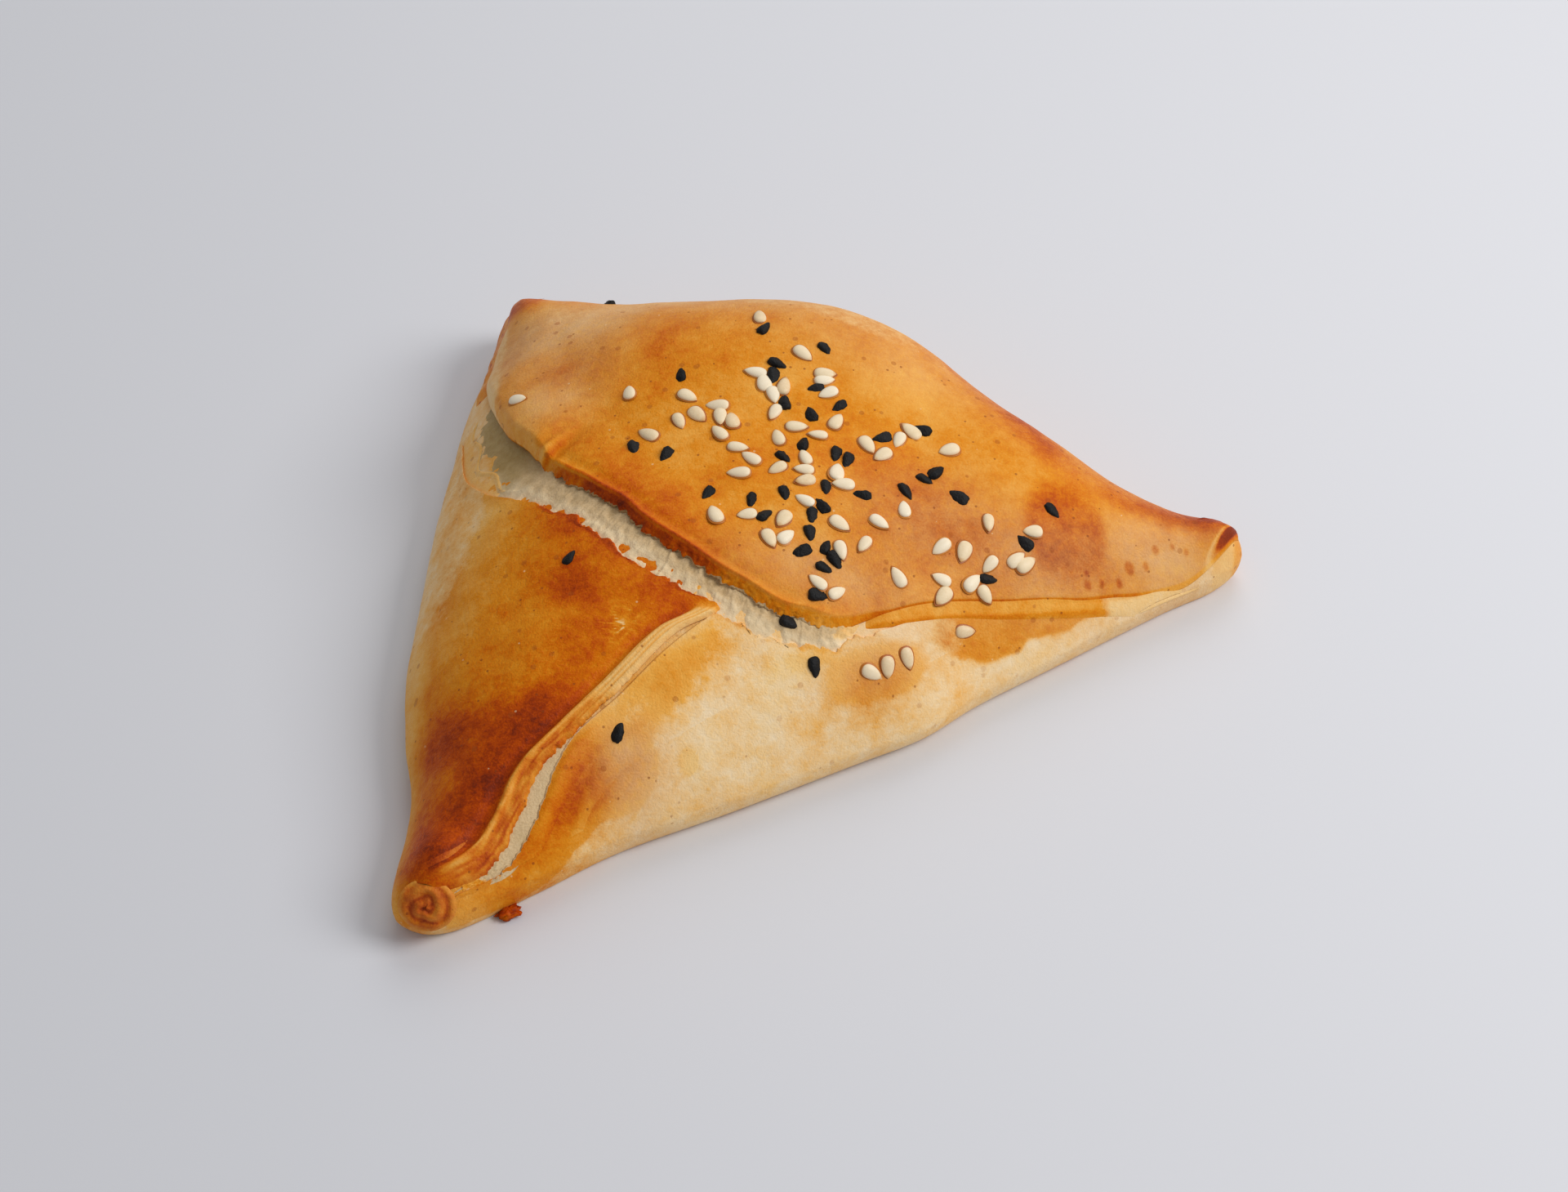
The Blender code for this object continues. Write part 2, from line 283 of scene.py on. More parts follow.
def spot(points, *oval):
    """A soft round patch: 1 at its middle, fading over its half-widths (mm)."""
    along, across = in_oval(points, *oval)
    return np.exp(-(along ** 2 + across ** 2))


def pool(points, x, y, wide, deep, turn=0):
    """Distance inside an oval's border, in mm, and negative outside it."""
    along, across = in_oval(points, x, y, wide, deep, turn)
    return (1 - np.hypot(along, across)) * min(wide, deep)


def patched(value, points, patches):
    """The value with soft patches added, each a strength and a spot()."""
    for strength, *where in patches:
        value = value + strength * spot(points, *where)
    return value


def splashed(points, splashes):
    """The highest of several pools, each after a steepness and an offset."""
    return np.max([steep * pool(points, *where) + offset for steep, offset, *where in splashes], axis=0)


# Round brown spots near the right corner: x, y and radius (mm).
FRECKLES = [
    (47.7, 2.3, 0.7), (43.6, -1, 0.9), (52.6, 3.4, 0.5), (50.4, 3.4, 0.5), (46.2, 0, 0.6),
    (37.1, -5, 0.7), (36.9, -3.6, 0.5), (42, -3.2, 0.6), (39.3, -4, 0.5)]


def cracked(points, x, y, wide, deep, turn=0):
    """A pale crazed blister: 1 along its cracks, fading outwards."""
    cracks = bell(lumps(points, 1.6, 15), 0, 0.08)
    middle = 0.6 * spot(points, x, y, wide * 0.35, deep * 0.4, turn)
    return np.maximum(spot(points, x, y, wide, deep, turn) * cracks, middle)


# Patches of browning, the egg wash's gaps and blushes below: the strength,
# then the middle's x and y, the half-widths (mm) and the turn (degrees).
TOP_SPOTS = [
    (0.17, -27, 33, 5.5, 7), (0.13, -40, 27, 7, 5), (0.1, -42, 16, 5, 5), (0.2, -29, -1, 13, 5, -42),
    (0.1, -12, -14, 12, 4, -20), (0.05, -14, 5, 9, 7), (-0.1, 12, 25, 9, 7), (0.16, 12.5, 4, 8, 6),
    (0.14, 15, -4, 9, 5), (0.3, 30, 18.5, 8, 3.5, -55), (0.1, 39, 2, 1.4, 7, 4),
    (0.14, 44, 10, 8, 4, -20), (0.5, 56.5, 10, 8, 3.4, 5), (0.12, 22, 28, 14, 4, -42),
    (-0.12, -40, 42, 14, 9), (-0.08, -14, 44, 20, 6, -6), (-0.08, -42, 22, 7, 6),
    (0.06, -20, 26, 6, 4), (0.05, -17, 2, 8, 4), (-0.1, 52, 1.5, 8, 2.4, 24),
    (-0.09, 46, 1.5, 8, 5, 18), (0.34, -50.5, 53.5, 6, 3.5, 35)]


def bake_top(points):
    """Browning of the top flap, 0 pale to 1 dark, with a painted highlight round the right corner's
    facet.
    """
    bake = 0.37 + 0.12 * lumps(points, 12, 5) + 0.06 * lumps(points, 4, 5.5)
    bake = patched(bake, points, TOP_SPOTS)
    bake += 0.25 * smoothstep(-0.8, 2.2, pool(points, 33.5, 1.5, 6.5, 8.5, -8))
    facet = pool(points, 59.3, 7.3, 3.6, 0.62, 51)
    # Painted highlight: a thin paler line just outside the facet's border, beside the darker facet.
    bake += 0.45 * smoothstep(0, 0.2, facet) - 0.25 * bell(facet, -0.22, 0.16)
    for x, y, size in FRECKLES:
        bake += 0.24 * smoothstep(-0.1, 0.4, pool(points, x, y, size, size))
    return bake


TOP_WASH = [
    (-2.8, -42, 45, 14, 8, -12), (-3, -8, 45, 20, 8, -6), (-2.6, 8, 36, 15, 7, -20),
    (-2.4, -52, 34, 5, 9), (5, -50.5, 53.5, 6, 4, 35)]


def wash_top(points):
    """How far inside the egg wash's border the top flap lies (mm)."""
    return patched(3, points, TOP_WASH)


LEFT_SPOTS = [
    (0.26, -38.5, -14.5, 6, 4.5, -20), (0.2, -26, -16.5, 9, 3.5, -38), (0.18, -41, -3, 6, 3, -48),
    (0.12, -35, -25, 8, 5, 40), (0.1, -36, -7, 6, 4, -45), (-0.14, -56, -18, 5, 10),
    (0.34, -43.5, -36.5, 7, 4.5, 38), (0.28, -55, -36, 7, 6, 20), (0.36, -49.5, -46.5, 5, 7.5, -20),
    (0.22, -56.5, -50, 6, 7, -10), (0.2, -57, -57, 8, 5), (-0.32, -54, 3, 6.5, 8),
    (-0.2, -53, 18, 7, 9, 8), (0.14, -51, 9.5, 4, 3.5, 20), (-0.34, -57, 32, 6, 10),
    (0.07, -36, -21, 7, 5)]


def bake_left(points):
    """Browning of the left flap."""
    bake = 0.46 + 0.1 * lumps(points, 9, 6) + 0.05 * lumps(points, 3.5, 6.5)
    bake = patched(bake, points, LEFT_SPOTS)
    bake -= 0.32 * smoothstep(-58, -62.5, points[..., 0])
    return bake


def wash_left(points):
    """How far inside the egg wash's border the left flap lies (mm)."""
    return np.minimum(3, -0.4 * pool(points, -64.5, 24, 10.5, 34, 4))


FRONT_SPOTS = [
    (0.3, -21, -27.5, 9, 3.4, 44), (0.42, -34, -43, 7.5, 3.8, 28), (0.34, -38, -46.5, 7, 3.4, 48),
    (0.46, -46, -55, 9, 5, 44), (0.32, 5.5, -23.5, 8, 3.2, 24), (0.1, 2, -28, 8, 3, 25)]


def bake_front(points):
    """Browning of the front flap."""
    clouds = lumps(points, 9, 7) + 0.5 * lumps(points, 4, 7.5)
    bake = 0.04 + 0.13 * np.maximum(clouds, -0.4)
    bake = patched(bake, points, FRONT_SPOTS)
    patch = smoothstep(-0.4, 0.4, orange_patch(points))
    return mixed(bake, 0.4 + 0.06 * clouds, patch)


# Pools of egg wash on the front: steepness and offset, then as for a spot.
ORANGE_POOLS = [(1, 0, 30.5, -8.2, 8.8, 3.6, 26), (1, 0, 21, -13.4, 8.5, 3.8, 22)]
RAISED_POOLS = [
    (0.25, 0, -24, -28, 14, 5.5, 46), (0.25, -0.3, -6, -25, 14, 4, 25),
    (2.2, 0, -33.5, -42.5, 9, 5, 32), (2.4, 0, -44.5, -53.5, 14, 5.6, 47)]
LOW_POOLS = [
    (1.1, 0, 5, -23.6, 8.5, 3.4, 24), (3, 0, -29, -45.2, 0.9, 0.5, 30),
    (2, 0, -21.5, -38.5, 1.6, 1.4, 20)]


def orange_patch(points):
    """Distance inside the crisp glazed patch below the right seam, in mm."""
    return splashed(points, ORANGE_POOLS) + 0.5 * lumps(points, 3, 31)


def wash_front(points):
    """How far inside the egg wash's border the front flap lies (mm)."""
    foot = 1.5 + 6 * smoothstep(-44, -33, points[..., 0])
    above_foot = 1.5 * (points[..., 2] - foot + 0.8 * lumps(points, 4, 32))
    raised = np.minimum(splashed(points, RAISED_POOLS), above_foot)
    fading = 2.6 * smoothstep(11, 24, points[..., 0]) - 0.8
    orange = np.minimum(3 * orange_patch(points), fading)
    return np.maximum(np.maximum(raised, splashed(points, LOW_POOLS)), orange)


def body_look(points):
    """Browning and egg wash of the body, taken from the flap it carries on."""
    east = points[..., 0] - DOME_MIDDLE[0]
    north = points[..., 1] - DOME_MIDDLE[1]
    turn = np.degrees(np.arctan2(north, east)) % 360
    back = within(turn, 5, 11, 131, 137)
    left = within(turn, 131, 137, 229, 234)
    front = 1 - back - left
    height = points[..., 2]
    bake = back * bake_top(points) + left * bake_left(points) + front * bake_front(points)
    wash = back * np.minimum(wash_top(points), height - 3.5)
    wash += left * np.minimum(wash_left(points), (height - 2.5) * 1.2)
    wash += front * wash_front(points)
    bake = np.where(height < 0.4, 0.25, bake)
    return bake, wash


BLUSH_SPOTS = [
    (1, 14, -2, 13, 9, -10), (1, 31, -4, 9, 6, 14), (1, -2, -13, 14, 5, -8),
    (1.1, 48, 2.5, 11, 6, 20), (0.6, 46, 13, 14, 4, -15), (0.6, 26, 25, 16, 6, -42),
    (0.45, -40, 28, 8, 9), (0.9, -41, 41, 13, 9, -10), (0.9, -10, 43, 26, 8, -8), (0.6, -44, 22, 7, 7),
    (0.5, 8, 30, 12, 7, -20), (0.7, 5, -23.6, 7.5, 3, 24), (1.2, -30, -41, 6, 4.5, 30),
    (0.5, -50, 38, 6, 10), (0.45, -52, -55, 5, 3, 20)]


def blush_field(points):
    """Where the crust has gone pinkish brown."""
    return patched(0, points, BLUSH_SPOTS)


# Dough sheets.

def over_skin(places, lift):
    """Points a height above the uneven dome, over each place."""
    step = 0.05
    here = dome_height(places)
    east = (dome_height(places + [step, 0]) - here) / step
    north = (dome_height(places + [0, step]) - here) / step
    normals = unit(np.stack([-east, -north, np.ones_like(here)], axis=-1))
    points = np.concatenate([places, here[..., None]], axis=-1)
    points = points + normals * unevenness(points)[..., None]
    points[..., 2] += lift
    return points


def left_normals(line):
    """Unit directions to the left of a walked line, in plan."""
    run = unit(np.gradient(line, axis=0))
    return np.stack([-run[:, 1], run[:, 0]], axis=-1)


def build_sheet(name, edge, end, stations, rows, shape, rise, ragged=None,
                tuck=1.5, square=0, power=1.5):
    """A dough sheet: its underside, the face of its edge, and its upper side.

    The shape is the thickness, the bevel's width (mm) and how round the bevel is
    (0 to 1), each as stops along the edge. Returns the object, its points, each
    point's distance in from the edge, how far down the edge's face it lies (0 to
    1), and how far along the edge.
    """
    edge = smooth_curve(edge, stations)
    end = smooth_curve(end, stations)
    along = np.linspace(0, 1, stations)[:, None]
    thick, bevel, round_share = (between(along, *stops) for stops in shape)
    under = np.linspace(1, 0, 5, endpoint=False)[None, :]
    climb = np.linspace(0, 1, 13)[None, :]
    turn = climb * math.pi / 2
    inset = bevel * (climb * (1 - round_share) + (1 - np.cos(turn)) * round_share)
    down = (1 - climb) * (1 - round_share) + (1 - np.sin(turn)) * round_share
    inset = np.hstack([under * tuck * np.ones_like(along), inset])
    down = np.hstack([np.ones((stations, under.shape[1])), down])

    span = end - edge
    length = np.linalg.norm(span, axis=-1, keepdims=True)
    inward = unit(mixed(span / length, left_normals(edge), square))
    face_places = edge[:, None, :] + inward[:, None, :] * inset[..., None]
    t = (np.linspace(0, 1, rows + 1)[1:] ** power)[None, :, None]
    start = face_places[:, -1:, :]
    lean = start + inward[:, None, :] * length[:, None, :] * 0.4
    upper_places = (1 - t) ** 2 * start + 2 * t * (1 - t) * lean + t ** 2 * end[:, None, :]
    places = np.hstack([face_places, upper_places])
    down = np.hstack([down, np.zeros((stations, rows))])
    across = np.concatenate([np.zeros(face_places.shape[1]), t[0, :, 0]])[None, :] * np.ones_like(down)
    from_edge = np.linalg.norm(places - edge[:, None, :], axis=-1)
    along = along * np.ones_like(down)
    if ragged is not None:
        places = places - left_normals(edge)[:, None, :] * ragged(along, down, from_edge)[..., None]
    lift = rise(along, from_edge, across) - down * thick
    points = over_skin(places, lift)
    return grid_object(name, points), points, from_edge, down, along


def crust_fields(thing, bake, wash, blush=0, raw=0, grease_and_shade=0):
    """The piece, with the fields that the crust material reads stored on it."""
    shape = np.ones(len(thing.data.vertices))
    fields = (("bake", bake), ("wash", wash), ("blush", blush), ("raw", raw), ("grease_and_shade", grease_and_shade))
    for name, values in fields:
        set_field(thing, name, np.asarray(values).reshape(-1) * shape)
    return thing


def jagged(along, length, seed, coarse=3):
    """Jitter of a torn edge, about -1 to 1, the same across the sheet."""
    place = along[:, 0] * length
    rough = 0.9 * wiggle(place, coarse, seed) + 0.6 * wiggle(place, coarse / 3, seed + 1)
    rough += 0.35 * wiggle(place, coarse / 8, seed + 2)
    return rough[:, None]


# The top flap: lifted at its left corner, torn along the front left.

TOP_SHAPE = (
    [(0.1, 1), (0.17, 2.4), (0.265, 2.7), (0.298, 1.6), (0.58, 1.5), (0.66, 0.8), (0.9, 0.7)],
    [(0.1, 0.8), (0.17, 1.3), (0.265, 1.4), (0.298, 1.1), (0.56, 1.3), (0.66, 0.5)],
    [(0.265, 1), (0.3, 0.12), (0.6, 0.12), (0.66, 1)])


def top_rise(along, from_edge, across):
    """Height of the top flap's upper face over the dome (mm)."""
    at_edge = between(along, (0, 1.7), (0.08, 1.1), (0.18, 3.9), (0.26, 4.1), (0.3, 2.35),
                      (0.56, 2.15), (0.66, 0.9), (0.9, 0.75))
    held = smoothstep(0.5, 14, from_edge)
    fold = bell(along, 0.283, 0.005) - 0.8 * bell(along, 0.294, 0.006)
    fold = 0.65 * fold * bell(from_edge, 0, 5)
    crease = 0.16 * bell(from_edge, 1.4, 0.22) - 0.2 * bell(from_edge, 2.5, 0.8)
    fall = (TOP_HELD + 0.12) * smoothstep(0.25, 0.97, across)
    return mixed(at_edge, TOP_HELD, held) + fold + crease * torn_part(along) - fall


def torn_part(along):
    return within(along, TEAR_START - 0.01, TEAR_START + 0.02, TEAR_FINISH - 0.03, TEAR_FINISH + 0.03)


def top_ragged(along, down, from_edge):
    """Outward jitter of the top flap's torn edge, growing towards its underside."""
    coarse = 0.75 * jagged(along, TOP_LENGTH, 1, 1.8) * smoothstep(0.25, 1, down)
    face = np.stack([along * TOP_LENGTH, down * 2.5, 0 * along], axis=-1)
    fine = 0.28 * lumps(face, 0.6, 33) * smoothstep(0.05, 0.4, down)
    scallop = 0.8 * wiggle(along[:, 0] * TOP_LENGTH, 7, 4)[:, None] * bell(from_edge, 0, 4)
    return torn_part(along) * (coarse + fine) + scallop * between(along, (0.6, 1), (0.68, 0.25))


def build_top_flap():
    thing, points, from_edge, down, along = build_sheet(
        "top_flap", TOP_EDGE, TOP_END, 640, 62, TOP_SHAPE, top_rise, top_ragged,
        tuck=6, square=0.6, power=1.4)
    torn = torn_part(along)
    corner = within(along, 0.12, 0.18, 0.275, 0.3)
    dark = between(along, (0.29, 0.3), (0.325, 1), (0.46, 0.95), (0.53, 0.45), (0.6, 0.25))
    face = smoothstep(0.06, 0.25, down)
    streaks = jagged(along, TOP_LENGTH, 30)
    bake = bake_top(points) + face * torn * (0.36 * dark - 0.06 + 0.14 * streaks)
    bake += 0.26 * torn * bell(from_edge, 1.35, 0.25) * (1 - face) * dark
    corner_bake = 0.26 + 0.08 * streaks + 0.2 * smoothstep(0.85, 1, down)
    bake = mixed(bake, corner_bake, corner * face)
    # Painted highlight and shade at the pinch fold: paler on its raised side, darker towards its dip.
    pinch_highlight_and_shade = bell(along, 0.29, 0.003) - bell(along, 0.284, 0.003)
    seam = between(along, (0.6, 0), (0.66, 1), (0.86, 0.8), (0.93, 0))
    bake += 0.18 * pinch_highlight_and_shade * bell(from_edge, 0, 4) + 0.2 * seam * face
    wash = wash_top(points) - 2.5 * corner * face * smoothstep(0.2, 0.9, down)
    wash -= 3 * cracked(points, 43.2, 2.6, 2.4, 2.2)
    pale_side = within(along, 0.02, 0.06, 0.15, 0.19) * bell(from_edge, 0, 1.6)
    bake = mixed(bake, 0.22, pale_side)
    wash -= 5 * pale_side
    crumbs = jagged(along, TOP_LENGTH, 34, 1.2)
    raw = smoothstep(0.78, 0.95, down + 0.22 * crumbs) * torn * 0.9
    return crust_fields(thing, bake, wash, blush_field(points) * (1 - face), raw)


# The left flap: its rolled seam runs down to the near left corner.

LEFT_SHAPE = ([(0.45, 0.9), (0.48, 0.7)], [(0, 0.45)], [(0, 1)])


def left_rise(along, from_edge, across):
    """Height of the left flap's upper face over the dome, with its rolled seam."""
    seam = between(along, (0, 0), (0.05, 1), (0.41, 1), (0.452, 0.5), (0.466, 0))
    upper = between(along, (0.22, 0), (0.32, 1))
    body = 0.72 * (1 - smoothstep(0.05, 0.95, across)) - 0.12
    wide = 0.85 * smoothstep(3.6, 2.6, from_edge)
    for place in SEAM_LINES:
        wide = wide - 0.17 * bell(from_edge, place, 0.15)
    crest = 0.8 * bell(from_edge, 2.5, 0.7) + 0.25 * smoothstep(1.8, 1.2, from_edge)
    trough = -0.4 * bell(from_edge, 4.3, 1)
    return body + seam * (mixed(crest, wide, upper) + trough)


def left_ragged(along, down, from_edge):
    torn = between(along, (0.44, 0), (0.47, 0.8), (0.74, 1), (0.8, 0.15))
    torn = torn * 0.95 * jagged(along, LEFT_LENGTH, 5, 4) * bell(from_edge, 0, 1.5)
    chipped = within(along, 0.04, 0.08, 0.3, 0.36, 0.45)
    return torn + chipped * jagged(along, LEFT_LENGTH, 8, 1.5) * bell(from_edge, 0, 0.7)


def build_left_flap():
    thing, points, from_edge, down, along = build_sheet(
        "left_flap", LEFT_EDGE, LEFT_END, 560, 62, LEFT_SHAPE, left_rise, left_ragged)
    seam = within(along, 0, 0.04, 0.45, 0.47)
    upper = between(along, (0.24, 0), (0.32, 1))
    band = smoothstep(3.5, 2.7, from_edge)
    crest = bell(from_edge, 2.45, 0.55, 4)
    streaks = jagged(along, LEFT_LENGTH, 11, 4)
    lines = sum(bell(from_edge, place, 0.2) for place in SEAM_LINES)
    fibres = lumps(np.stack([along * LEFT_LENGTH, from_edge * 6, 0 * along], axis=-1), 2.4, 14)
    on_upper = 0.06 + 0.18 * lines + 0.05 * streaks + 0.08 * fibres
    # Painted highlight: the lower part of the seam is paler along its raised crest.
    on_lower = 0.56 + 0.1 * streaks - 0.17 * crest + 0.24 * fibres
    bake = mixed(bake_left(points), mixed(on_lower, on_upper, upper), seam * band)
    bake += 0.1 * bell(from_edge, 4.6, 1.4) * seam
    scorched = within(along, 0.46, 0.49, 0.76, 0.84) * smoothstep(-0.5, 0.3, lumps(points, 3, 28))
    blister = cracked(points, -31, -21.6, 3.2, 2.6, 40)
    bake += 0.22 * scorched * bell(from_edge, 0.8, 0.9) - 0.4 * blister
    wash = np.maximum(wash_left(points), 5 * band * seam) - 4.5 * blister
    raw = smoothstep(0.5, 1, down) * (1 - seam) * 0.9
    return crust_fields(thing, bake, wash, 0.25 * seam * band, raw)


# The front flap: under both the others, with its own torn edges.

FRONT_SHAPE = ([(0, 0.7)], [(0, 0.4)], [(0, 1)])
FRONT_TORN = (0.4, 0.43, 0.575, 0.61)


def front_rise(along, from_edge, across):
    proud = 0.5 * (1 - smoothstep(0.1, 0.92, across)) - 0.12
    split = within(along, 0.74, 0.79, 0.97, 0.995)
    proud -= 0.18 * split * bell(from_edge, 0, 0.9)
    bead = 0.45 * bell(from_edge, 1.6, 1.2) - 0.24 * bell(from_edge, 4, 1.2)
    ridge = 0.24 * bell(from_edge, 5.8, 1.2)
    return proud + split * (bead + ridge)


def front_ragged(along, down, from_edge):
    jitter = jagged(along, FRONT_LENGTH, 17) * bell(from_edge, 0, 1.5)
    chips = jagged(along, FRONT_LENGTH, 20, 1.3) * bell(from_edge, 0, 0.7)
    split = within(along, 0.76, 0.79, 0.93, 0.96, 0.32)
    return within(along, *FRONT_TORN) * jitter + split * chips


def build_front_flap():
    thing, points, from_edge, down, along = build_sheet(
        "front_flap", FRONT_EDGE, FRONT_END, 560, 50, FRONT_SHAPE, front_rise, front_ragged,
        tuck=1.2, power=1.3)
    split = between(along, (0.72, 0), (0.79, 1), (0.98, 1))
    scorched = within(along, *FRONT_TORN) * smoothstep(-0.5, 0.4, lumps(points, 2.5, 16))
    bake = bake_front(points) + 0.28 * bell(from_edge, 0.5, 0.6) * scorched
    bevel = bell(from_edge, 2.2, 1.9, 4)
    # Painted shade: a darker line in the dip between the split's bead and its ridge.
    painted_shade_line = bell(from_edge, 3.6, 1) * between(along, (0.74, 0), (0.86, 1))
    bake = mixed(bake, 0.47, split * bevel) + split * 0.28 * painted_shade_line
    # Painted highlight: a paler stripe along the split's ridge.
    bake -= 0.12 * split * bell(from_edge, 6.3, 1)
    wash = np.maximum(wash_front(points), split * 3 * np.maximum(bevel, painted_shade_line) - 0.4)
    wash += 1.5 * split * smoothstep(9, 3, from_edge)
    crumb = smoothstep(0.65, 0.25, from_edge) * within(along, 0.72, 0.79, 0.93, 0.955)
    raw = np.maximum(smoothstep(0.6, 1, down), 0.8 * crumb)
    return crust_fields(thing, bake, wash, blush_field(points), raw)


PLY_SHAPE = ([(0, 0.6)], [(0, 0.4)], [(0, 1)])


def ply_rise(along, from_edge, across):
    ends = within(along, 0, 0.12, 0.85, 1)
    line = -0.22 * bell(from_edge, 1.3, 0.25) * smoothstep(0.4, 0.8, along)
    return -0.25 + (0.8 + line) * ends


def build_second_ply():
    """The thin layer that shows below the right seam."""
    thing, points, from_edge, _, along = build_sheet(
        "second_ply", PLY_EDGE, PLY_END, 320, 20, PLY_SHAPE, ply_rise, tuck=1, square=0.8, power=1.2)
    pale = smoothstep(0.62, 0.76, along)
    bake = 0.3 + 0.08 * lumps(points, 4, 8) + 0.16 * bell(from_edge, 0.25, 0.3)
    bake = mixed(bake, 0.3 + 0.25 * bell(from_edge, 1.3, 0.3), pale)
    return crust_fields(thing, bake, 3 - 4.5 * pale)


def corner_ply_rise(along, from_edge, across):
    ends = within(along, 0, 0.1, 0.8, 1)
    return -0.3 + (0.9 + 0.3 * np.sin(along * 40) * np.exp(-from_edge / 1.2)) * ends


def build_corner_ply():
    """The thin browned layer under the top flap at the back left corner."""
    thing, points, from_edge, _, _ = build_sheet(
        "corner_ply", CORNER_PLY_EDGE, CORNER_PLY_END, 200, 14, PLY_SHAPE, corner_ply_rise,
        tuck=0.8, square=0.8)
    burnt = smoothstep(0.2, 0.45, lumps(points, 1.8, 18)) * bell(from_edge, 1.3, 0.9)
    bake = 0.42 + 0.16 * lumps(points, 3, 19) + 0.6 * burnt
    return crust_fields(thing, bake, 3)


def build_body():
    """The whole body under the sheets, led round the rim to the flat base."""
    segments, dome_rings, under_rings, near_middle = 480, 84, 13, 1e-4
    turn = np.arange(segments) * len(RIM) / segments
    ahead = np.concatenate([RIM, RIM[:1]])
    corners = np.arange(len(ahead))
    rim_now = np.stack([np.interp(turn, corners, side) for side in ahead.T], axis=-1)
    middle = np.array(DOME_MIDDLE)
    ray = rim_now - middle
    out = 1 - (1 - np.linspace(0, 1, dome_rings, endpoint=False)) ** 1.6
    out[0] = near_middle
    quarter = np.linspace(0, math.pi / 2, under_rings)
    under = 1 - BASE_INSET * (1 - np.cos(quarter)) / np.linalg.norm(ray, axis=-1, keepdims=True)
    every = np.ones((segments, 1))
    shares = np.hstack([every * out, under, every * [0.8, 0.4, near_middle]])
    places = middle + ray[:, None, :] * shares[..., None]
    tops = np.zeros(shares.shape)
    tops[:, :dome_rings] = dome_height(places[:, :dome_rings])
    tops[:, dome_rings:-3] = RIM_HEIGHT * (1 - np.sin(quarter))
    points = np.concatenate([places, tops[..., None]], axis=-1)
    lift = unevenness(points) * smoothstep(1, 4, points[..., 2])
    points = points + ring_normals(points) * lift[..., None]
    points[..., 2] = np.maximum(points[..., 2], 0)
    thing = grid_object("body", points, around=True)
    bake, wash = body_look(points)
    bake = mixed(bake, 0.32, smoothstep(60, 61, points[..., 0]))
    wash = np.maximum(wash, 3 * smoothstep(56.5, 59.5, points[..., 0]))
    return crust_fields(thing, bake, wash, blush_field(points))


# Bare dough in the gaps between the sheets.

def build_strip(name, near_line, far_line, stations, rows, lift):
    """A strip of dough over the skin, between a near line and a far line."""
    near = smooth_curve(near_line, stations)
    far = smooth_curve(far_line, stations)
    along, across = np.meshgrid(np.linspace(0, 1, stations), np.linspace(0, 1, rows), indexing="ij")
    places = mixed(near[:, None, :], far[:, None, :], across[..., None])
    height, relief = lift(along, across)
    points = over_skin(places, height + relief)
    return grid_object(name, points), points, along, across, relief


def membrane(along):
    """Where the greasy skin of dough stands, across the tear (0 to 1)."""
    return 0.28 + 0.05 * np.sin(along * 60)


def build_torn_dough():
    """The pale stretched dough in the gap under the top flap's free edge."""
    def lift(along, across):
        greasy = smoothstep(0.36, 0.22, along)
        height = 0.05 + 0.3 * smoothstep(0.18, 0.45, across) + 0.2 * smoothstep(0.45, 0.7, across)
        height = height - 0.3 * greasy * smoothstep(0.15, 0.35, across)
        ends = within(along, 0, 0.06, 0.94, 1)
        tape = np.stack([along * TEAR_LENGTH, across * TEAR_WIDTH, along * 0], axis=-1)
        strands = np.abs(lumps(tape, 2.6, 11, (1, 0.3, 1)))
        ropes = smoothstep(0.1, 0.02, strands) * smoothstep(0, 0.5, lumps(tape, 8, 27))
        strands = 0.25 - strands + 0.4 * ropes
        fine = lumps(tape, 0.45, 12, (1, 0.25, 1))
        crumbs = lumps(tape, 1.4, 13)
        relief = (0.42 * strands + 0.12 * fine + 0.24 * crumbs) * (1 - 0.7 * greasy)
        relief = relief * (0.3 + 0.7 * smoothstep(0.05, 0.25, across))
        relief += 0.35 * greasy * bell(across, membrane(along), 0.022)
        return height - 0.8 * (1 - ends), relief * ends

    thing, points, along, across, relief = build_strip(
        "torn_dough", TEAR_LOW, TEAR_HIGH, 560, 60, lift)
    greasy = smoothstep(0.34, 0.24, along)
    skin = membrane(along)
    yellow = greasy * np.maximum(bell(across, skin, 0.03), smoothstep(skin, skin - 0.05, across))
    # Painted shade: the dough is darker in the hollows of its relief and towards the top flap's edge,
    # where the flap shades it.
    painted_hollow_shade = np.clip(-2.2 * relief, 0, 1)
    painted_shade = smoothstep(0.3, 0.45, across)
    bake = mixed(0.04 + 0.3 * painted_hollow_shade + 0.34 * painted_shade, 0.12, yellow)
    bare = (1 - yellow) * smoothstep(0.97, 0.9, along + 0.03 * lumps(points, 1.5, 29))
    # The grease field is greasy dough at the far end, strengthened towards the top flap as painted
    # shade.
    return crust_fields(thing, bake, -1 + 3 * yellow, 0, bare, greasy * (0.75 + 0.25 * painted_shade))


def build_split_dough():
    """The bare dough in the split that runs beside the left flap's seam."""
    def lift(along, across):
        tape = np.stack([along * SPLIT_LENGTH, across * SPLIT_WIDTH, along * 0], axis=-1)
        crumbs = lumps(tape, 0.55, 23) + 0.6 * lumps(tape, 0.28, 24)
        relief = crumbs * (0.04 + 0.1 * smoothstep(0.62, 0.85, along))
        return 0.12 - 0.06 * np.abs(2 * across - 1) ** 3, relief

    thing, points, along, _, relief = build_strip(
        "split_dough", SPLIT_LEFT, SPLIT_RIGHT, 240, 36, lift)
    bare = smoothstep(0.98, 0.84, along + 0.1 * lumps(points, 1.2, 43))
    # Painted shade: the bare dough is darker where its crumbly relief dips.
    return crust_fields(thing, 0.34 - 1.2 * relief, -3 + 5 * (1 - bare), 0, bare)


CURL_SIZE = 4.1
CURL_PITCH = 2.1
CURL_MIDDLE = (-57, -61, 7.1)
CURL_LEAN = (56, -6)


